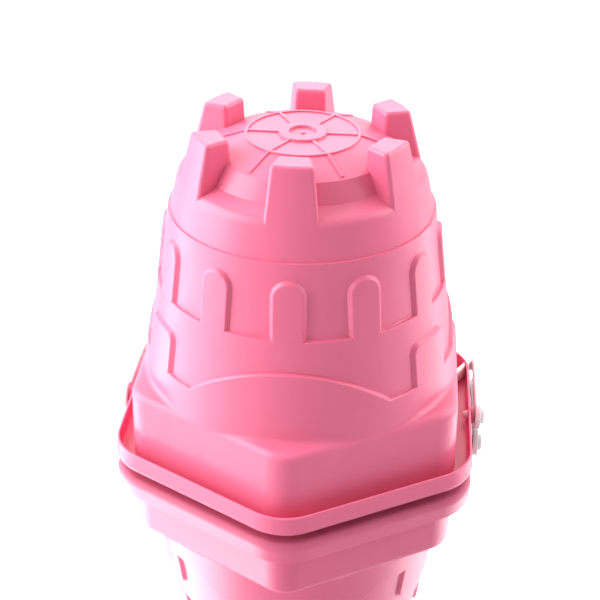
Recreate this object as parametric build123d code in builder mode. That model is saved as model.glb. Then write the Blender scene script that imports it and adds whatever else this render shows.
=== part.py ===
"""Castle sand bucket: a turret-shaped bucket standing mouth down, with its carrying handle folded back.

Frame: millimetres, +Z up through the turrets, the mouth's lip in the XY plane, the origin at the
centre of the mouth. One corner of the six-sided block, and a door arch above it, face -Y. The handle
turns about an axis along X and lies folded back towards +Y.
"""

from build123d import *
import os
from math import cos, hypot, radians, sin, tan

# ---------------------------------------------------------------- bucket: driving sizes
WALL = 2.0  # moulded wall
HEIGHT = 170.0  # mouth lip to turret tops; the block takes up what the bands above it leave

BLOCK_APOTHEM = 81.6  # six-sided block at the mouth, centre to flat
BLOCK_DRAFT = 1.2  # degrees
BLOCK_CORNER = 17.0
BLOCK_TOP_ROUND = 4.0

RIM_UNDERSIDE = 2.4  # the lip stands this far below the rim
RIM_ROUND = 3.5  # the rim's outer bottom edge
RIM_CHANNEL = 7.9  # open width between block and skirt, at its bottom
SKIRT_WALL = 1.3
SKIRT_HEIGHT = 11.1
SKIRT_DRAFT = 6.0  # degrees
LIP_ROUND = 0.4  # share of the skirt's wall, on both edges of its top

# Round tower: three bands, each a ledge further in than the band below it, and the crown above them.
TOWER_SETBACK = 0.8  # tower's foot inside the block's flats
TOWER_DRAFT = 7.3  # degrees
FOOT_BAND = 15.0  # height of each band
ARCH_BAND = 34.8
PILASTER_BAND = 36.5
LEDGE_STEP = 2.0
LEDGE_ROUND = 0.7
CREASE_ROUND = 3.0  # where the tower rises from the block

# Crown: a steeper band, a sloped shoulder, the collar around a shallow domed disc, and the turrets.
CROWN_BAND = 17.2
CROWN_STEP = 1.0
CROWN_DRAFT = 14.7  # degrees, on the top band and the turrets' outer faces
SHOULDER_RISE = 3.4
SHOULDER_WIDTH = 10.2
SHOULDER_ROUND = 5.0
COLLAR_RISE = 8.9
COLLAR_LEAN = 5.4
DISC_RISE = 5.7
DISC_SLOPE_WIDTH = 16.9  # the disc slopes outside its ring, and is flat inside it

TURRETS = 6
TURRET_RISE = 6.0  # turret tops above the disc
TURRET_OVERHANG = 3.6  # turrets' inner faces inside the disc's edge
TURRET_INNER_WIDTH = 14.6
TURRET_FLARE = 13.6  # degrees, each side, widening outwards
TURRET_DRAFT = 2.5  # degrees
TURRET_ROUND = 2.0

PILASTERS = 12
PILASTER_WIDTH = 16.2
PILASTER_RISE = 29.1  # its head above the ledge that it stands on
FLANK_SLOPE = 35.0  # degrees off the pilaster's own outward direction
BUTTRESS_ANGLES = (60.0, 180.0, 300.0)
BUTTRESS_WIDTH = 27.0
BUTTRESS_RISE = 22.0
BUTTRESS_CORNER = 2.5
ARCH_ANGLES = (0.0, 120.0, 240.0)
ARCH_SPREAD = 35.0  # degrees around the tower, from the arch's middle to its end
ARCH_RISE = 19.9
ARCH_FLANK_SLOPE = 10.0  # degrees
RELIEF_ROUND = 1.0

RIB_HEIGHT = 0.7
RIB_WIDTH = 1.5
SPOKES = 6
BOSS_RADIUS = 12.0
BOSS_HOLLOW_RADIUS = 6.6
BOSS_HEIGHT = 1.2
GATE_RADIUS = 1.2
GATE_HEIGHT = 0.5

# ---------------------------------------------------------------- handle and pivots: driving sizes
PIVOT_RISE = 4.3  # pivot axis above the rim's channel floor
PIN_RADIUS = 2.0
RUNNING_FIT = 0.06  # radial, pin in eye and pin in skirt
SIDE_GAP = 0.35  # between pad, eye and pin head
PAD_WALL = 2.4  # pad around the pin's hole
PAD_PROUD = 0.9  # pad beyond the skirt's widest line
PIN_HEAD_LIP = 2.3  # pin head beyond the shank
PIN_HEAD_THICKNESS = 1.5
PIN_BARB = 0.4  # radial catch behind the skirt
PIN_BARB_LENGTH = 2.6

EYE_WALL = 5.25  # handle eye around the pin
STRAP_THICKNESS = 3.0
STRAP_HEIGHT = 8.0
STRAP_ROUND = 1.2
FINGER_GAP = 16.8  # between the rim's back corner and the folded handle
GRIP_LENGTH = 84.0
GRIP_THICKNESS = 6.0
GRIP_HEIGHT = 14.0
GRIP_ROUND = 2.6

# ---------------------------------------------------------------- shared geometry
tower_slope = tan(radians(TOWER_DRAFT))
crown_slope = tan(radians(CROWN_DRAFT))
skirt_slope = tan(radians(SKIRT_DRAFT))

disc_top = HEIGHT - TURRET_RISE
disc_edge = disc_top - DISC_RISE
collar_foot = disc_edge - COLLAR_RISE
shoulder_edge = collar_foot - SHOULDER_RISE
upper_ledge = shoulder_edge - CROWN_BAND
middle_ledge = upper_ledge - PILASTER_BAND
lower_ledge = middle_ledge - ARCH_BAND
block_top = lower_ledge - FOOT_BAND
tower_foot = BLOCK_APOTHEM - block_top * tan(radians(BLOCK_DRAFT)) - TOWER_SETBACK

rim_floor = RIM_UNDERSIDE + WALL
skirt_foot = BLOCK_APOTHEM + RIM_CHANNEL + SKIRT_WALL
skirt_corner = BLOCK_CORNER + RIM_CHANNEL + SKIRT_WALL
channel_side = skirt_foot - WALL * skirt_slope - SKIRT_WALL
pivot_height = rim_floor + PIVOT_RISE
hole_radius = PIN_RADIUS + RUNNING_FIT
pad_face = skirt_foot + PAD_PROUD
eye_inside = pad_face + SIDE_GAP
eye_outside = eye_inside + STRAP_THICKNESS


def band_radius(z, steps, inset):
    """Radius of the tower's band that lies `steps` ledges in, at height z."""
    return tower_foot - tower_slope * (z - block_top) - steps * LEDGE_STEP - inset


def crown_radius(z, inset):
    """Radius of the top band's cone, which the turrets' outer faces continue."""
    at_ledge = band_radius(upper_ledge, 2, inset) - CROWN_STEP
    return at_ledge - crown_slope * (z - upper_ledge)


collar_radius = crown_radius(shoulder_edge, 0) - SHOULDER_WIDTH
disc_radius = collar_radius - COLLAR_LEAN
ring_radius = disc_radius - DISC_SLOPE_WIDTH


def hexagon(apothem, corner):
    """Six-sided outline with rounded corners, one corner facing -Y."""
    with BuildSketch() as outline:
        RegularPolygon(apothem, 6, major_radius=False, rotation=30)
        fillet(outline.vertices(), corner)
    return outline.sketch


def turned(points, rounds=()):
    """Solid of revolution about Z through (radius, height) points, with some corners rounded."""
    with BuildPart() as solid:
        with BuildSketch(Plane.XZ) as profile:
            with BuildLine():
                Polyline(*points, close=True)
            make_face()
            for index, radius in rounds:
                corner = Vector(*points[index])
                fillet(profile.vertices().sort_by_distance(corner)[0], radius)
        revolve(axis=Axis.Z)
    return solid.part


def relief_plane(z, steps, proud):
    """Plane on the -Y side, lying along the tower's slope, a little proud of one band."""
    radius = band_radius(z, steps, 0)
    slope = Vector(0, -1, tower_slope).normalized()
    return Plane(origin=(0, -radius, z), x_dir=(1, 0, 0), z_dir=slope).offset(proud)


def side_plane(distance, side):
    """Plane facing outwards on the left (-1) or right (1), at the pivot's height."""
    return Plane(origin=(side * distance, 0, pivot_height), x_dir=(0, 1, 0), z_dir=(side, 0, 0))


# ---------------------------------------------------------------- bucket
FLUSH = 0.02  # a relief's face lies this far inside the band that it continues, to keep them apart
PROUD = 2.0  # how far a relief's sketch stands outside its finished face
RELIEF_DEPTH = 9.0  # how far a pilaster's solid runs in, to end inside the tower
ARCH_DEPTH = 34.0  # the same for the arch, which wraps further round
RELIEF_FOOT = 6.0  # how far a relief reaches down into the band below
TOWER_ROOT = 2.4  # how far the tower's solid runs down into the block, inside its flats


def tower(inset):
    """Stepped round tower with its sloped shoulder, collar and domed disc."""
    low, mid, top = lower_ledge - inset, middle_ledge - inset, upper_ledge - inset
    root, shoulder = block_top - inset - TOWER_ROOT, shoulder_edge - inset
    points = [
        (0, root),
        (band_radius(root, 0, inset), root),
        (band_radius(low, 0, inset), low),
        (band_radius(low, 1, inset), low),
        (band_radius(mid, 1, inset), mid),
        (band_radius(mid, 2, inset), mid),
        (band_radius(top, 2, inset), top),
        (crown_radius(top, inset), top),
        (crown_radius(shoulder, inset), shoulder),
        (collar_radius - inset, collar_foot - inset),
        (disc_radius - inset, disc_edge - inset),
        (ring_radius, disc_top - inset),
        (0, disc_top - inset),
    ]
    rounds = [(index, LEDGE_ROUND) for index in (2, 3, 4, 5)] + [(8, SHOULDER_ROUND)]
    return turned(points, rounds)


def block(inset):
    """Six-sided block under the tower, with rounded corners and a rounded top edge."""
    with BuildPart() as form:
        with BuildSketch():
            add(hexagon(BLOCK_APOTHEM - inset, BLOCK_CORNER - inset))
        extrude(amount=block_top - inset, taper=BLOCK_DRAFT)
        fillet(form.faces().sort_by(Axis.Z)[-1].edges(), BLOCK_TOP_ROUND - inset / 2)
    return form.part


def turret(inset):
    """One turret: flared sides, drafted all round, its outer face part of the crown's cone."""
    top = HEIGHT - inset
    inner = disc_radius - TURRET_OVERHANG + inset
    outer = crown_radius(upper_ledge, 0)
    flare = tan(radians(TURRET_FLARE))
    half_inner = TURRET_INNER_WIDTH / 2 + flare * inset - inset
    half_outer = half_inner + flare * (outer - inner)
    foot = shoulder_edge - 2 * SHOULDER_ROUND
    with BuildPart() as form:
        with BuildSketch(Plane(origin=(0, 0, top), x_dir=(1, 0, 0), z_dir=(0, 0, -1))):
            with BuildLine():
                Polyline(
                    (-half_inner, inner),
                    (half_inner, inner),
                    (half_outer, outer),
                    (-half_outer, outer),
                    close=True,
                )
            make_face()
        extrude(amount=top - foot, taper=-TURRET_DRAFT)
        add(crown(inset + FLUSH), mode=Mode.INTERSECT)
        upright = form.edges().filter_by(lambda edge: abs(edge.tangent_at(0.5).Z) > 0.8)
        top_edges = form.faces().sort_by(Axis.Z)[-1].edges()
        fillet(upright + top_edges, TURRET_ROUND - inset / 2)
    return form.part


def crown(inset):
    """Solid cone that holds the top band and the turrets."""
    foot, top = upper_ledge, HEIGHT + PROUD
    return turned(
        [(0, foot), (crown_radius(foot, inset), foot), (crown_radius(top, inset), top), (0, top)]
    )


def band_cone(steps, low, high, inset):
    """Solid cone that continues one band upwards, to trim reliefs flush with it."""
    return turned(
        [(0, low), (band_radius(low, steps, inset), low), (band_radius(high, steps, inset), high), (0, high)]
    )


def relief(outline, plane, depth, flank_slope, cone):
    """One raised shape on the -Y side, trimmed flush with the band below it."""
    with BuildPart() as form:
        with BuildSketch(plane):
            add(outline)
        extrude(amount=-depth, taper=-flank_slope)
        add(cone, mode=Mode.INTERSECT)
        land = form.faces().filter_by(GeomType.CONE).sort_by(SortBy.AREA)[-1]
        fillet(land.edges().sort_by(Axis.Z)[1:], RELIEF_ROUND)
    return form.part


def pilaster(inset):
    """Round-headed pilaster between the upper and middle ledges, flush with the band below."""
    reach = (LEDGE_STEP + PROUD) * tan(radians(FLANK_SLOPE))
    half = PILASTER_WIDTH / 2 - reach - inset
    height = PILASTER_RISE - reach - inset
    with BuildSketch() as outline:
        with Locations((0, height - half)):
            Circle(half)
        with Locations((0, (height - half) / 2)):
            Rectangle(2 * half, height - half)
    cone = band_cone(1, middle_ledge - RELIEF_FOOT, upper_ledge, inset + FLUSH)
    plane = relief_plane(middle_ledge, 1, PROUD - inset)
    return relief(outline.sketch, plane, RELIEF_DEPTH, FLANK_SLOPE, cone)


def buttress(inset):
    """Broad low pilaster with a square head, flush with the band at the tower's foot."""
    reach = (LEDGE_STEP + PROUD) * tan(radians(FLANK_SLOPE))
    width = BUTTRESS_WIDTH - 2 * reach - 2 * inset
    height = BUTTRESS_RISE - reach - inset
    with BuildSketch() as outline:
        with Locations((0, height / 2)):
            Rectangle(width, height)
        fillet(outline.vertices().group_by(Axis.Y)[-1], BUTTRESS_CORNER)
    cone = band_cone(0, lower_ledge - RELIEF_FOOT, middle_ledge, inset + FLUSH)
    plane = relief_plane(lower_ledge, 0, PROUD - inset)
    return relief(outline.sketch, plane, RELIEF_DEPTH, FLANK_SLOPE, cone)


def door_arch(inset):
    """Broad shallow arch, flush with the band at the tower's foot."""
    reach = (LEDGE_STEP + PROUD) * tan(radians(ARCH_FLANK_SLOPE))
    rise = ARCH_RISE - reach
    half_span = band_radius(lower_ledge, 0, 0) * sin(radians(ARCH_SPREAD))
    outer_radius = (half_span**2 + rise**2) / (2 * rise)
    radius = outer_radius - inset
    with BuildSketch() as outline:
        with Locations((0, rise - outer_radius)):
            Circle(radius)
        with Locations((0, -RELIEF_FOOT - radius)):
            Rectangle(2 * radius, 2 * radius, mode=Mode.SUBTRACT)
    cone = band_cone(0, lower_ledge - RELIEF_FOOT, middle_ledge, inset + FLUSH)
    plane = relief_plane(lower_ledge, 0, PROUD - inset)
    return relief(outline.sketch, plane, ARCH_DEPTH, ARCH_FLANK_SLOPE, cone)


def on_crease(edge, inset):
    """Whether an edge runs around the tower's foot, where the tower's cone leaves the block."""
    top = block_top - inset
    return all(
        top - BLOCK_TOP_ROUND < point.Z < top + FLUSH
        and abs(hypot(point.X, point.Y) - band_radius(point.Z, 0, inset)) < FLUSH
        for point in (edge.position_at(share) for share in (0.25, 0.5, 0.75))
    )


def tower_on_block(inset):
    """Tower and block in one, with a soft crease between them."""
    with BuildPart() as form:
        add(tower(inset))
        add(block(inset))
        crease = form.edges().filter_by(lambda edge: on_crease(edge, inset))
        fillet(crease, CREASE_ROUND + inset)
    return form.part


def castle(inset):
    """The whole castle form; the shell is this form less the same form one wall smaller."""
    with BuildPart() as form:
        add(tower_on_block(inset))
        with PolarLocations(0, TURRETS):
            add(turret(inset))
        with PolarLocations(0, PILASTERS):
            add(pilaster(inset))
        for angle in BUTTRESS_ANGLES:
            add(buttress(inset), rotation=(0, 0, angle))
        for angle in ARCH_ANGLES:
            add(door_arch(inset), rotation=(0, 0, angle))
    return form.part


def ring_rib():
    """Raised ring on the disc, where its flat middle meets its sloped edge."""
    half = RIB_WIDTH / 2
    points = [
        (ring_radius - half, disc_top - WALL / 2),
        (ring_radius - half, disc_top + RIB_HEIGHT),
        (ring_radius + half, disc_top + RIB_HEIGHT),
        (ring_radius + half, disc_top - WALL / 2),
    ]
    return turned(points, [(1, RIB_HEIGHT / 3), (2, RIB_HEIGHT / 3)])


def spoke():
    """Rib towards -Y, from the boss over the ring to just short of the disc's edge."""
    disc_slope = (disc_top - disc_edge) / (disc_radius - ring_radius)
    end = disc_radius - RIB_WIDTH
    end_height = disc_edge + disc_slope * RIB_WIDTH
    profile = [
        (-BOSS_RADIUS + RIB_WIDTH, disc_top - WALL / 2),
        (-BOSS_RADIUS + RIB_WIDTH, disc_top + RIB_HEIGHT),
        (-ring_radius, disc_top + RIB_HEIGHT),
        (-end, end_height + RIB_HEIGHT),
        (-end, end_height - WALL / 2),
        (-ring_radius, disc_top - WALL / 2),
    ]
    with BuildPart() as rib:
        with BuildSketch(Plane.YZ):
            with BuildLine():
                Polyline(*profile, close=True)
            make_face()
        extrude(amount=RIB_WIDTH / 2, both=True)
        fillet(rib.faces().sort_by(SortBy.AREA)[-1].edges().sort_by(Axis.Z)[-2:], RIB_HEIGHT / 3)
    return rib.part


def boss():
    """Round boss in the middle of the disc, with a hollow and the moulding gate's nub."""
    top = disc_top + BOSS_HEIGHT
    with BuildPart() as form:
        with BuildSketch(Plane.XY.offset(disc_top - WALL / 2)):
            Circle(BOSS_RADIUS)
        extrude(amount=BOSS_HEIGHT + WALL / 2, taper=FLANK_SLOPE / 2)
        fillet(form.faces().sort_by(Axis.Z)[-1].edges(), BOSS_HEIGHT / 3)
        with BuildSketch(Plane.XY.offset(top)):
            Circle(BOSS_HOLLOW_RADIUS)
        extrude(amount=-BOSS_HEIGHT, taper=FLANK_SLOPE / 2, mode=Mode.SUBTRACT)
        with BuildSketch(Plane.XY.offset(disc_top)):
            Circle(GATE_RADIUS)
        extrude(amount=GATE_HEIGHT)
    return form.part


def rim():
    """Out-turned web and upstanding skirt around the mouth, with a pad on each side for the pivot."""
    with BuildPart() as form:
        with BuildSketch(Plane.XY.offset(RIM_UNDERSIDE)):
            add(hexagon(skirt_foot, skirt_corner))
        extrude(amount=SKIRT_HEIGHT, taper=SKIRT_DRAFT)
        fillet(form.faces().sort_by(Axis.Z)[0].edges(), RIM_ROUND)
        with BuildSketch(Plane.XY.offset(rim_floor)):
            add(hexagon(channel_side, skirt_corner - SKIRT_WALL))
        extrude(amount=SKIRT_HEIGHT, taper=SKIRT_DRAFT, mode=Mode.SUBTRACT)
        level_faces = form.faces().filter_by(Axis.Z).sort_by(Axis.Z)
        fillet(level_faces[-1].edges(), LIP_ROUND * SKIRT_WALL)
        channel_floor = form.faces().filter_by(Axis.Z).sort_by(Axis.Z)[-2]
        fillet(channel_floor.edges(), RIM_ROUND - SKIRT_WALL)
        with BuildSketch(Plane.XY.offset(RIM_UNDERSIDE - WALL)):
            add(hexagon(BLOCK_APOTHEM - WALL, BLOCK_CORNER - WALL))
        extrude(amount=RIM_UNDERSIDE + WALL, mode=Mode.SUBTRACT)
        for side in (-1, 1):
            with BuildSketch(side_plane(pad_face, side)):
                Circle(PIN_RADIUS + PAD_WALL)
            extrude(amount=-(PAD_PROUD + SKIRT_WALL))
            with BuildSketch(side_plane(pad_face, side)):
                Circle(hole_radius)
            extrude(amount=-(PAD_PROUD + RIM_CHANNEL), mode=Mode.SUBTRACT)
    return form.part


with BuildPart() as bucket:
    add(castle(0))
    add(castle(WALL), mode=Mode.SUBTRACT)
    add(rim())
    add(ring_rib())
    with PolarLocations(0, SPOKES, start_angle=180 / SPOKES):
        add(spoke())
    add(boss())

bucket.part.label = "bucket_shell"

# ---------------------------------------------------------------- handle
rim_reach = (skirt_foot - skirt_corner) / cos(radians(30)) + skirt_corner
crown_inside = rim_reach + FINGER_GAP
bail_corner = eye_inside - GRIP_LENGTH / 2


def bail_outline(grow):
    """Bail's inner outline from the pivot axis to its crown, seen along Z, grown outwards."""
    side = eye_inside + grow
    crown_line = crown_inside + grow
    with BuildSketch() as outline:
        with Locations((0, crown_line / 2)):
            Rectangle(2 * side, crown_line)
        crown_corners = outline.vertices().group_by(Axis.Y)[-1]
        fillet(crown_corners, bail_corner + grow)
    return outline.sketch


def bail():
    """Flat strap from eye to eye."""
    with BuildPart() as strap:
        with BuildSketch(Plane.XY.offset(pivot_height - STRAP_HEIGHT / 2)):
            add(bail_outline(STRAP_THICKNESS))
            add(bail_outline(0), mode=Mode.SUBTRACT)
        extrude(amount=STRAP_HEIGHT)
        flat_faces = strap.faces().filter_by(Axis.Z)
        long_edges = flat_faces.edges().filter_by(lambda edge: edge.center().Y > STRAP_THICKNESS)
        fillet(long_edges, STRAP_ROUND)
    return strap.part


def grip():
    """Thicker grip with round ends, around the middle of the strap's crown."""
    strap_middle = (0, crown_inside + STRAP_THICKNESS / 2, pivot_height)
    with BuildPart() as bar:
        with BuildSketch(Plane(origin=strap_middle, x_dir=(1, 0, 0), z_dir=(0, 1, 0))):
            SlotOverall(GRIP_LENGTH, GRIP_HEIGHT)
        extrude(amount=GRIP_THICKNESS / 2, both=True)
        fillet(bar.faces().filter_by(Axis.Y).edges(), GRIP_ROUND)
    return bar.part


with BuildPart() as handle:
    add(bail())
    add(grip())
    for side in (-1, 1):
        with BuildSketch(side_plane(eye_inside, side)):
            Circle(PIN_RADIUS + EYE_WALL)
        extrude(amount=STRAP_THICKNESS)
        with BuildSketch(side_plane(eye_inside, side)):
            Circle(hole_radius)
        extrude(amount=STRAP_THICKNESS, mode=Mode.SUBTRACT)

handle.part.label = "carry_handle"

# ---------------------------------------------------------------- pivot pins
pin_head_face = eye_outside + SIDE_GAP
head_radius = PIN_RADIUS + PIN_HEAD_LIP
catch_radius = PIN_RADIUS + PIN_BARB
catch_rise = pivot_height + catch_radius - rim_floor
catch = channel_side - catch_rise * skirt_slope - RUNNING_FIT
barb_end = catch - PIN_BARB_LENGTH


def pivot_pin():
    """Push-in pin on +X: domed head outside the eye, shank, and a snap catch behind the skirt."""
    profile = [
        (0, barb_end),
        (PIN_RADIUS - PIN_BARB, barb_end),
        (catch_radius, catch - SIDE_GAP),
        (catch_radius, catch),
        (PIN_RADIUS, catch),
        (PIN_RADIUS, pin_head_face),
        (head_radius, pin_head_face),
        (head_radius, pin_head_face + PIN_HEAD_THICKNESS),
        (0, pin_head_face + PIN_HEAD_THICKNESS),
    ]
    with BuildPart() as pin:
        add(turned(profile, [(7, PIN_HEAD_THICKNESS / 2)]), rotation=(0, 90, 0))
    return pin.part.moved(Location((0, 0, pivot_height)))


with BuildPart() as pin_right:
    add(pivot_pin())

pin_right.part.label = "pivot_pin_right"

with BuildPart() as pin_left:
    add(pivot_pin().rotate(Axis.Z, 180))

pin_left.part.label = "pivot_pin_left"

# ---------------------------------------------------------------- files
os.makedirs("parts", exist_ok=True)
export_step(bucket.part, "parts/bucket_shell.step")
export_step(handle.part, "parts/carry_handle.step")
export_step(pin_right.part, "parts/pivot_pin_right.step")
export_step(pin_left.part, "parts/pivot_pin_left.step")
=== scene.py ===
"""Looks for a castle sand bucket of moulded polypropylene, standing mouth down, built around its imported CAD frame.

Everything is in metres, in the frame of the CAD model: +Z up through the turrets, the mouth's lip at z = 0,
one corner of the six-sided block towards -Y, and the handle's pivot axis along X.
"""

import logging
from dataclasses import dataclass
from enum import Enum
from math import cos, pi, radians, sin

import bmesh
import bpy
from mathutils import Euler, Matrix, Vector


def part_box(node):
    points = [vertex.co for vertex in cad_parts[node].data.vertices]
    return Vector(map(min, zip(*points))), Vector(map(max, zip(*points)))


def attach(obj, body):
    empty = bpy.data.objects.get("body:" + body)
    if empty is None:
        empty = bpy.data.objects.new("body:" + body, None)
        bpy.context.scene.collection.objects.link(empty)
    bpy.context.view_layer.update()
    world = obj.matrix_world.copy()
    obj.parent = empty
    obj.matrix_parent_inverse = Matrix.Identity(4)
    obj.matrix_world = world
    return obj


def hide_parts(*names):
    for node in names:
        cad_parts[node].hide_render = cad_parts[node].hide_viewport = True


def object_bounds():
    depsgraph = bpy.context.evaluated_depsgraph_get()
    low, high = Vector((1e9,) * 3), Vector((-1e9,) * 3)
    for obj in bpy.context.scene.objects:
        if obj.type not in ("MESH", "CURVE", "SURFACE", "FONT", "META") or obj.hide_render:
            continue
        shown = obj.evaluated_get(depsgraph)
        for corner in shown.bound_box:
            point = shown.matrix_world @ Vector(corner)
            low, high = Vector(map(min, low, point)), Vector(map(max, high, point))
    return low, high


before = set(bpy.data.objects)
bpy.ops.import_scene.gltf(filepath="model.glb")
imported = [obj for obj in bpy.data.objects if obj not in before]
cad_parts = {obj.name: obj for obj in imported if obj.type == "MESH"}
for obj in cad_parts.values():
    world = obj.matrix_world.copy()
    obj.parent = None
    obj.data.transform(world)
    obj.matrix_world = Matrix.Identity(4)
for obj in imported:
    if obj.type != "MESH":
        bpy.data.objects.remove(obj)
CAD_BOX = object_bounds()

logging.basicConfig(level=logging.INFO, format="%(message)s")
log = logging.getLogger("sand_bucket")

MM = 0.001


class Side(Enum):
    """The two ends of the pivot axis."""

    RIGHT = 1
    LEFT = -1


# ---------------------------------------------------------------- shader helpers
def linear(hex_colour: str) -> tuple[float, float, float, float]:
    """Turns an sRGB hex colour into the linear colour that shaders take.

    Args:
        hex_colour: Six hex digits after a #.

    Returns:
        Linear red, green and blue, and an alpha of 1.
    """
    digits = hex_colour.lstrip("#")
    channels = [int(digits[i : i + 2], 16) / 255 for i in (0, 2, 4)]
    lit = [c / 12.92 if c <= 0.04045 else ((c + 0.055) / 1.055) ** 2.4 for c in channels]
    return (lit[0], lit[1], lit[2], 1.0)


def per_metre(millimetres: float) -> float:
    """Returns a texture scale whose pattern repeats about every so many millimetres."""
    return 1 / (millimetres * MM)


def add_node(
    tree: bpy.types.NodeTree, kind: str, settings: dict | None = None, inputs: dict | None = None
) -> bpy.types.Node:
    """Adds one shader node with its settings, and sets or links its inputs.

    Args:
        tree: Node tree that the node goes into.
        kind: Blender's name of the node's type.
        settings: Properties of the node itself.
        inputs: For each input, by name or number, a socket to link from or a value to set.

    Returns:
        The new node.
    """
    node = tree.nodes.new(kind)
    for name, value in (settings or {}).items():
        setattr(node, name, value)
    for name, value in (inputs or {}).items():
        if isinstance(value, bpy.types.NodeSocket):
            tree.links.new(value, node.inputs[name])
        else:
            node.inputs[name].default_value = value
    return node


# ---------------------------------------------------------------- finishes
@dataclass(frozen=True)
class MouldedPolypropylene:
    """Injection-moulded polypropylene: waxy and a little translucent, with a satin spark-eroded grain.

    The eye sees a soft, wide highlight broken up by the grain, colour that clouds slightly where the melt
    flowed, and paler, rougher rubbing wherever the toy stands or scrapes.
    """

    name: str
    colour: str
    flow_colour: str
    rubbed_colour: str
    roughness: float = 0.36
    subsurface: float = 0.12
    subsurface_depth_mm: float = 3.0
    grain_mm: float = 0.5  # real grain is about 0.15 mm, drawn coarser so that it shows
    grain_height_mm: float = 0.012
    flow_mm: float = 55.0
    sink_mm: float = 24.0
    sink_height_mm: float = 0.05
    scuff_mm: float = 3.2
    rubbed_heights_mm: tuple[float, float] = (-1.0, -0.9)

    def build(self) -> bpy.types.Material:
        """Builds the material.

        Returns:
            The finished material, on Object coordinates in metres.
        """
        material = bpy.data.materials.new(self.name)
        material.use_nodes = True
        tree = material.node_tree
        shader = tree.nodes["Principled BSDF"]
        place = add_node(tree, "ShaderNodeTexCoord").outputs["Object"]
        rubbed = self._rubbed(tree, place)
        self._colour(tree, place, rubbed, shader)
        self._gloss(tree, place, rubbed, shader)
        self._relief(tree, place, shader)
        shader.inputs["IOR"].default_value = 1.49
        shader.inputs["Subsurface Weight"].default_value = self.subsurface
        shader.inputs["Subsurface Scale"].default_value = self.subsurface_depth_mm * MM
        shader.inputs["Subsurface Radius"].default_value = (1.0, 0.45, 0.5)
        return material

    def _rubbed(self, tree: bpy.types.NodeTree, place: bpy.types.NodeSocket) -> bpy.types.NodeSocket:
        """Adds the mask of rubbed patches near the given heights, and returns its socket."""
        height = add_node(tree, "ShaderNodeSeparateXYZ", inputs={0: place}).outputs["Z"]
        low, high = (h * MM for h in self.rubbed_heights_mm)
        near = add_node(
            tree,
            "ShaderNodeMapRange",
            {"interpolation_type": "SMOOTHSTEP"},
            {"Value": height, "From Min": low, "From Max": high},
        ).outputs["Result"]
        speckle = add_node(
            tree,
            "ShaderNodeTexNoise",
            inputs={"Vector": place, "Scale": per_metre(self.scuff_mm), "Detail": 6.0, "Roughness": 0.7},
        ).outputs["Fac"]
        patch = add_node(
            tree, "ShaderNodeMapRange", inputs={"Value": speckle, "From Min": 0.5, "From Max": 0.68}
        ).outputs["Result"]
        return add_node(tree, "ShaderNodeMath", {"operation": "MULTIPLY"}, {0: near, 1: patch}).outputs[0]

    def _colour(self, tree, place, rubbed, shader) -> None:
        """Adds the colour: slow flow clouding, and paler plastic where it is rubbed."""
        flow = add_node(
            tree,
            "ShaderNodeTexNoise",
            inputs={"Vector": place, "Scale": per_metre(self.flow_mm), "Detail": 3.0, "Distortion": 0.6},
        ).outputs["Fac"]
        cloud = add_node(
            tree,
            "ShaderNodeMix",
            {"data_type": "RGBA"},
            {"Factor": flow, 6: linear(self.colour), 7: linear(self.flow_colour)},
        ).outputs[2]
        worn = add_node(
            tree,
            "ShaderNodeMix",
            {"data_type": "RGBA"},
            {"Factor": rubbed, 6: cloud, 7: linear(self.rubbed_colour)},
        ).outputs[2]
        tree.links.new(worn, shader.inputs["Base Color"])

    def _gloss(self, tree, place, rubbed, shader) -> None:
        """Adds the roughness: satin, uneven over a few centimetres, and dull where it is rubbed."""
        smear = add_node(
            tree,
            "ShaderNodeTexNoise",
            inputs={"Vector": place, "Scale": per_metre(self.sink_mm), "Detail": 4.0},
        ).outputs["Fac"]
        satin = add_node(
            tree,
            "ShaderNodeMapRange",
            inputs={"Value": smear, "To Min": self.roughness - 0.05, "To Max": self.roughness + 0.07},
        ).outputs["Result"]
        dull = add_node(
            tree,
            "ShaderNodeMath",
            {"operation": "MULTIPLY_ADD", "use_clamp": True},
            {0: rubbed, 1: 0.25, 2: satin},
        ).outputs[0]
        tree.links.new(dull, shader.inputs["Roughness"])

    def _relief(self, tree, place, shader) -> None:
        """Adds the bump: broad shallow sinks under a fine grain."""
        sinks = add_node(
            tree, "ShaderNodeTexNoise", inputs={"Vector": place, "Scale": per_metre(self.sink_mm), "Detail": 1.0}
        ).outputs["Fac"]
        grain = add_node(
            tree, "ShaderNodeTexNoise", inputs={"Vector": place, "Scale": per_metre(self.grain_mm), "Detail": 2.0}
        ).outputs["Fac"]
        broad = add_node(
            tree,
            "ShaderNodeBump",
            inputs={"Strength": 1.0, "Distance": self.sink_height_mm * MM, "Height": sinks},
        ).outputs["Normal"]
        fine = add_node(
            tree,
            "ShaderNodeBump",
            inputs={"Strength": 1.0, "Distance": self.grain_height_mm * MM, "Height": grain, "Normal": broad},
        ).outputs["Normal"]
        tree.links.new(fine, shader.inputs["Normal"])


PINK = MouldedPolypropylene(
    "pink_polypropylene", "#E6708F", "#E1688A", "#EC8AA8", rubbed_heights_mm=(169.2, 169.9)
)
WHITE = MouldedPolypropylene("white_polypropylene", "#F1EAE8", "#EDE3E2", "#F6F2F0", roughness=0.32)
PIN_WHITE = MouldedPolypropylene("pin_polypropylene", "#EFE4E4", "#EADADB", "#F6F2F0", roughness=0.3)


# ---------------------------------------------------------------- modelling helpers
def start_piece(name: str) -> bpy.types.Object:
    """Names the object that a primitive operator has just added, and goes into edit mode on it.

    Args:
        name: The piece's name.

    Returns:
        The object, in edit mode.
    """
    piece = bpy.context.object
    piece.name = name
    bpy.ops.object.transform_apply(location=True, rotation=True, scale=True)
    bpy.ops.object.mode_set(mode="EDIT")
    return piece


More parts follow.
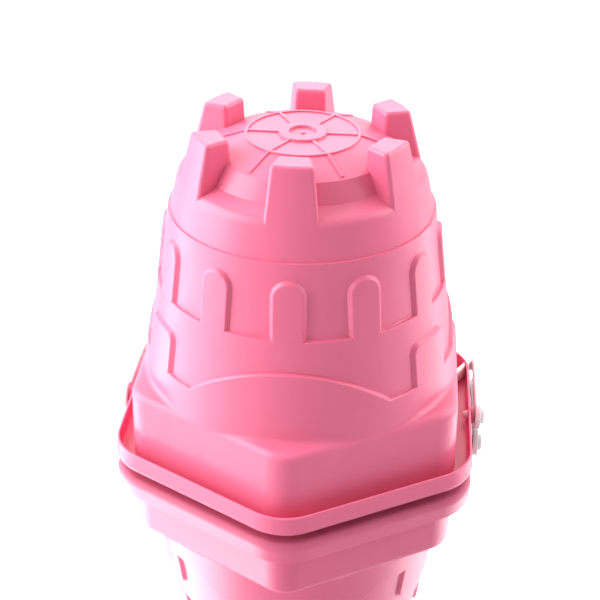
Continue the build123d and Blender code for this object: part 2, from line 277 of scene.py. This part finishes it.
def select_faces(piece: bpy.types.Object, along: Vector, at: float, reach: float = 0.0001) -> None:
    """Selects only the faces whose centre lies at a distance along a direction, and that face along it.

    Args:
        piece: The mesh object, in edit mode.
        along: Unit direction that the faces point in.
        at: Distance of their plane from the origin, along that direction.
        reach: How far off that plane a face may lie.
    """
    bpy.ops.mesh.select_all(action="DESELECT")
    mesh = bmesh.from_edit_mesh(piece.data)
    mesh.normal_update()
    for face in mesh.faces:
        if face.normal.dot(along) > 0.99 and abs(face.calc_center_median().dot(along) - at) < reach:
            face.select_set(True)
    mesh.select_flush(True)
    bmesh.update_edit_mesh(piece.data)


def extrude(offset: Vector, size: float | tuple[float, float, float] = 1.0) -> None:
    """Extrudes what is selected by an offset, then scales the new end about its own middle."""
    bpy.ops.mesh.extrude_region_move(TRANSFORM_OT_translate={"value": offset})
    factors = size if isinstance(size, tuple) else (size, size, size)
    bpy.ops.transform.resize(value=factors)


def apply_modifier(piece: bpy.types.Object, kind: str, **settings: object) -> None:
    """Adds a modifier with its settings, and applies it."""
    modifier = piece.modifiers.new(kind.lower(), kind)
    for name, value in settings.items():
        setattr(modifier, name, value)
    bpy.ops.object.modifier_apply(modifier=modifier.name)


def finish_piece(piece: bpy.types.Object, material: bpy.types.Material, smooth_below: float = 35.0) -> None:
    """Leaves edit mode, merges doubles, turns the normals out, smooths the shading and gives the material.

    Args:
        piece: The finished mesh object.
        material: Its finish.
        smooth_below: Edges under this angle, in degrees, are shaded smooth.
    """
    if bpy.context.object.mode == "EDIT":
        bpy.ops.object.mode_set(mode="OBJECT")
    bpy.ops.object.mode_set(mode="EDIT")
    bpy.ops.mesh.select_all(action="SELECT")
    bpy.ops.mesh.remove_doubles(threshold=0.005 * MM)
    bpy.ops.mesh.normals_make_consistent(inside=False)
    bpy.ops.object.mode_set(mode="OBJECT")
    bpy.ops.object.shade_smooth_by_angle(angle=radians(smooth_below))
    piece.data.materials.clear()
    piece.data.materials.append(material)


# ---------------------------------------------------------------- the object
@dataclass
class Bucket:
    """The one-piece moulding: castle, block, rim and skirt. Its CAD node shows, in the pink finish."""

    node: str = "bucket_shell"

    def build(self) -> None:
        """Dresses the CAD node."""
        pink = PINK.build()
        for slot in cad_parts[self.node].material_slots:
            slot.material = pink
        log.info("%s: CAD node in %s", self.node, pink.name)


@dataclass
class PivotPin:
    """A push-in pin: dished round head, shank through eye and skirt, and a catch ring behind the skirt."""

    side: Side
    head_radius_mm: float = 4.3
    head_thickness_mm: float = 1.5
    shank_radius_mm: float = 2.0
    dish_radius_mm: float = 2.5
    dish_depth_mm: float = 0.35
    barb_mm: float = 2.6
    catch_mm: float = 0.35
    catch_proud_mm: float = 0.4
    edge_round_mm: float = 0.32

    def build(self, material: bpy.types.Material) -> None:
        """Models the pin in place of its CAD node.

        Args:
            material: The pin's finish.
        """
        node = f"pivot_pin_{self.side.name.lower()}"
        low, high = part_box(node)
        out = Vector((self.side.value, 0, 0))
        tip, face = sorted((low.x * out.x, high.x * out.x))
        height = (low.z + high.z) / 2
        thick = self.head_thickness_mm * MM
        bpy.ops.object.select_all(action="DESELECT")
        bpy.ops.mesh.primitive_cylinder_add(
            vertices=48,
            radius=self.head_radius_mm * MM,
            depth=thick,
            location=(out.x * (face - thick / 2), 0, height),
            rotation=(0, pi / 2, 0),
        )
        piece = start_piece(f"push_in_pin_{self.side.name.lower()}")
        select_faces(piece, out, face)
        bpy.ops.mesh.inset(thickness=(self.head_radius_mm - self.dish_radius_mm) * MM)
        extrude(out * -self.dish_depth_mm * MM, 0.86)
        select_faces(piece, -out, -(face - thick))
        bpy.ops.mesh.inset(thickness=(self.head_radius_mm - self.shank_radius_mm) * MM)
        catch = tip + self.barb_mm * MM
        grown = 1 + self.catch_proud_mm / self.shank_radius_mm
        extrude(out * (catch - (face - thick)))
        extrude(Vector(), (1, grown, grown))
        extrude(out * -self.catch_mm * MM)
        taper = (self.shank_radius_mm - self.catch_proud_mm) / (self.shank_radius_mm + self.catch_proud_mm)
        extrude(out * (tip + self.catch_mm * MM - catch), (1, taper, taper))
        bpy.ops.object.mode_set(mode="OBJECT")
        apply_modifier(
            piece,
            "BEVEL",
            width=self.edge_round_mm * MM,
            segments=3,
            limit_method="ANGLE",
            angle_limit=radians(30),
            use_clamp_overlap=True,
        )
        finish_piece(piece, material)
        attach(piece, "bucket")
        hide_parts(node)
        log.info("%s: %d faces", piece.name, len(piece.data.polygons))


@dataclass
class CarryHandle:
    """The bail: round eyes, a flat strap along each side, and a rounded grip at the crown."""

    strap_thickness_mm: float = 3.0
    strap_height_mm: float = 8.0
    strap_round_mm: float = 1.2
    eye_radius_mm: float = 7.25
    hole_radius_mm: float = 2.06
    grip_length_mm: float = 84.0
    grip_thickness_mm: float = 6.0
    grip_height_mm: float = 14.0
    grip_blend_mm: float = 16.0
    bore_clearance_mm: float = 0.35
    voxel_mm: float = 0.45

    def build(self, material: bpy.types.Material) -> None:
        """Models one half, mirrors it, and softens it into one moulding in place of the CAD node.

        Args:
            material: The handle's finish.
        """
        half = self._half_strap()
        eye = self._eye()
        bpy.ops.object.select_all(action="DESELECT")
        eye.select_set(True)
        half.select_set(True)
        bpy.context.view_layer.objects.active = half
        bpy.ops.object.join()
        apply_modifier(half, "MIRROR", use_axis=(True, False, False), use_mirror_merge=True, merge_threshold=0.02 * MM)
        apply_modifier(half, "REMESH", mode="VOXEL", voxel_size=self.voxel_mm * MM)
        apply_modifier(half, "SMOOTH", factor=0.5, iterations=6)
        finish_piece(half, material, smooth_below=180.0)
        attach(half, "handle")
        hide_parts("carry_handle")
        log.info("%s: %d faces", half.name, len(half.data.polygons))

    def _levels(self) -> tuple[float, float, float, float]:
        """Returns the strap's middle x, the pivot's height, the crown's middle y and the corner radius."""
        low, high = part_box("carry_handle")
        strap_x = high.x - self.strap_thickness_mm / 2 * MM
        height = (low.z + high.z) / 2
        crown_y = high.y - self.grip_thickness_mm / 2 * MM
        corner = strap_x - self.grip_length_mm / 2 * MM
        return strap_x, height, crown_y, corner

    def _half_strap(self) -> bpy.types.Object:
        """Extrudes the strap from the right eye along the side, spins it round the corner and on to the middle."""
        strap_x, height, crown_y, corner = self._levels()
        start_y = self.hole_radius_mm * MM + self.strap_thickness_mm * MM
        bpy.ops.object.select_all(action="DESELECT")
        bpy.ops.mesh.primitive_plane_add(size=1, location=(strap_x, start_y, height), rotation=(pi / 2, 0, 0))
        bpy.context.object.scale = (self.strap_thickness_mm * MM, self.strap_height_mm * MM, 1)
        piece = start_piece("bail_handle")
        bpy.ops.mesh.select_all(action="SELECT")
        bpy.ops.mesh.bevel(offset=self.strap_round_mm * MM, segments=4, affect="VERTICES")
        bpy.ops.mesh.select_all(action="SELECT")
        run = crown_y - corner - start_y
        steps = 12
        for _ in range(steps):
            extrude(Vector((0, run / steps, 0)))
        bpy.ops.mesh.spin(
            steps=24, angle=pi / 2, center=(strap_x - corner, crown_y - corner, height), axis=(0, 0, 1)
        )
        self._grip()
        return piece

    def _grip(self) -> None:
        """Extrudes the crown from its corner to the middle, growing smoothly from strap to grip."""
        half_length = self.grip_length_mm / 2 * MM
        steps = 28
        thick_growth = self.grip_thickness_mm / self.strap_thickness_mm - 1
        tall_growth = self.grip_height_mm / self.strap_height_mm - 1
        before = (1.0, 1.0)
        for step in range(1, steps + 1):
            share = min(1.0, step / steps * half_length / (self.grip_blend_mm * MM))
            eased = share * share * (3 - 2 * share)
            now = (1 + thick_growth * eased, 1 + tall_growth * eased)
            extrude(Vector((-half_length / steps, 0, 0)), (1, now[0] / before[0], now[1] / before[1]))
            before = now
        bpy.ops.object.mode_set(mode="OBJECT")

    def _eye(self) -> bpy.types.Object:
        """Models the right eye: a disc with a bore, the strap's thickness."""
        strap_x, height, _, _ = self._levels()
        bpy.ops.object.select_all(action="DESELECT")
        bpy.ops.mesh.primitive_cylinder_add(
            vertices=72,
            radius=self.eye_radius_mm * MM,
            depth=self.strap_thickness_mm * MM,
            location=(strap_x, 0, height),
            rotation=(0, pi / 2, 0),
        )
        piece = start_piece("eye")
        bore = (self.hole_radius_mm + self.bore_clearance_mm) * MM
        half = self.strap_thickness_mm / 2 * MM
        for out in (1, -1):
            select_faces(piece, Vector((out, 0, 0)), out * (strap_x + out * half))
            bpy.ops.mesh.inset(thickness=self.eye_radius_mm * MM - bore)
        mesh = bmesh.from_edit_mesh(piece.data)
        for face in mesh.faces:
            face.select_set(abs(face.normal.x) > 0.99 and face.calc_area() < pi * bore * bore * 1.01 and len(face.verts) > 4)
        bmesh.update_edit_mesh(piece.data)
        bpy.ops.mesh.bridge_edge_loops()
        bpy.ops.object.mode_set(mode="OBJECT")
        return piece


# ---------------------------------------------------------------- studio
@dataclass(frozen=True)
class Softbox:
    """A square area light that faces the object."""

    name: str
    azimuth: float  # degrees round from -Y, positive to the right
    elevation: float  # degrees
    distance: float
    size: float
    power: float

    def build(self, target: Vector) -> None:
        """Adds the light, aimed at a point.

        Args:
            target: Point that the light faces.
        """
        turn, rise = radians(self.azimuth), radians(self.elevation)
        way = Vector((sin(turn) * cos(rise), -cos(turn) * cos(rise), sin(rise)))
        light = bpy.data.lights.new(self.name, "AREA")
        light.size = self.size
        light.energy = self.power
        lamp = bpy.data.objects.new(self.name, light)
        lamp.location = target + way * self.distance
        lamp.rotation_mode = "QUATERNION"
        lamp.rotation_quaternion = way.to_track_quat("Z", "Y")
        bpy.context.scene.collection.objects.link(lamp)


@dataclass
class Studio:
    """A glossy pale table in a white surround, soft lights at both sides and behind, and the camera."""

    height: float
    lens_mm: float = 76.0
    surround_front: float = 0.52
    surround_back: float = 1.2
    table_colour: str = "#F8F8FA"
    table_roughness: float = 0.03
    table_size: float = 8.0
    softboxes: tuple[Softbox, ...] = (
        Softbox("softbox_left", -84.0, 26.0, 0.8, 0.9, 15.0),
        Softbox("softbox_right", 110.0, 26.0, 0.9, 0.8, 6.5),
        Softbox("softbox_back", 185.0, 36.0, 1.0, 0.8, 3.6),
    )

    def build(self) -> None:
        """Builds the table, the surround, the lights and the camera."""
        bpy.context.scene.view_settings.view_transform = "Standard"
        self._surround()
        self._table()
        for softbox in self.softboxes:
            softbox.build(Vector((0, 0, self.height / 2)))
        self._camera()
        log.info("studio: %d softboxes", len(self.softboxes))

    def _surround(self) -> None:
        """Adds the white surround, brighter behind the object than in front of it."""
        world = bpy.data.worlds.new("studio")
        bpy.context.scene.world = world
        world.use_nodes = True
        tree = world.node_tree
        way = add_node(tree, "ShaderNodeTexCoord").outputs["Generated"]
        depth = add_node(tree, "ShaderNodeSeparateXYZ", inputs={0: way}).outputs["Y"]
        glow = add_node(
            tree,
            "ShaderNodeMapRange",
            {"interpolation_type": "SMOOTHSTEP"},
            {
                "Value": depth,
                "From Min": -0.6,
                "From Max": 0.5,
                "To Min": self.surround_front,
                "To Max": self.surround_back,
            },
        ).outputs["Result"]
        background = tree.nodes["Background"]
        background.inputs["Color"].default_value = (1, 1, 1, 1)
        tree.links.new(glow, background.inputs["Strength"])

    def _table(self) -> None:
        """Adds the table: a pale sheet so glossy that the object is mirrored in it."""
        bpy.ops.object.select_all(action="DESELECT")
        bpy.ops.mesh.primitive_plane_add(size=self.table_size)
        table = bpy.context.object
        table.name = "table"
        material = bpy.data.materials.new("glossy_table")
        material.use_nodes = True
        shader = material.node_tree.nodes["Principled BSDF"]
        shader.inputs["Base Color"].default_value = linear(self.table_colour)
        shader.inputs["Metallic"].default_value = 1.0
        shader.inputs["Roughness"].default_value = self.table_roughness
        table.data.materials.append(material)

    def _camera(self) -> None:
        """Adds the camera, looking down at the front corner from a little to its right."""
        camera = bpy.data.objects.new("camera", bpy.data.cameras.new("camera"))
        bpy.context.scene.collection.objects.link(camera)
        turn = radians(4.93)
        distance, rise = 3.258 * self.height, 2.329 * self.height
        tilt = Euler((radians(59.758), 0, radians(4.997))).to_matrix()
        aim = tilt @ Matrix.Rotation(radians(0.536), 3, "Z")
        camera.location = (distance * sin(turn), -distance * cos(turn), rise)
        camera.rotation_mode = "QUATERNION"
        camera.rotation_quaternion = aim.to_quaternion()
        camera.data.sensor_width = 36.0
        camera.data.lens = self.lens_mm
        camera.data.clip_start = 0.01
        bpy.context.scene.camera = camera


def main() -> None:
    """Builds the object piece by piece, then the studio."""
    Bucket().build()
    pin_white = PIN_WHITE.build()
    for side in Side:
        PivotPin(side).build(pin_white)
    CarryHandle().build(WHITE.build())
    Studio(CAD_BOX[1].z).build()


if __name__ == "__main__":
    main()
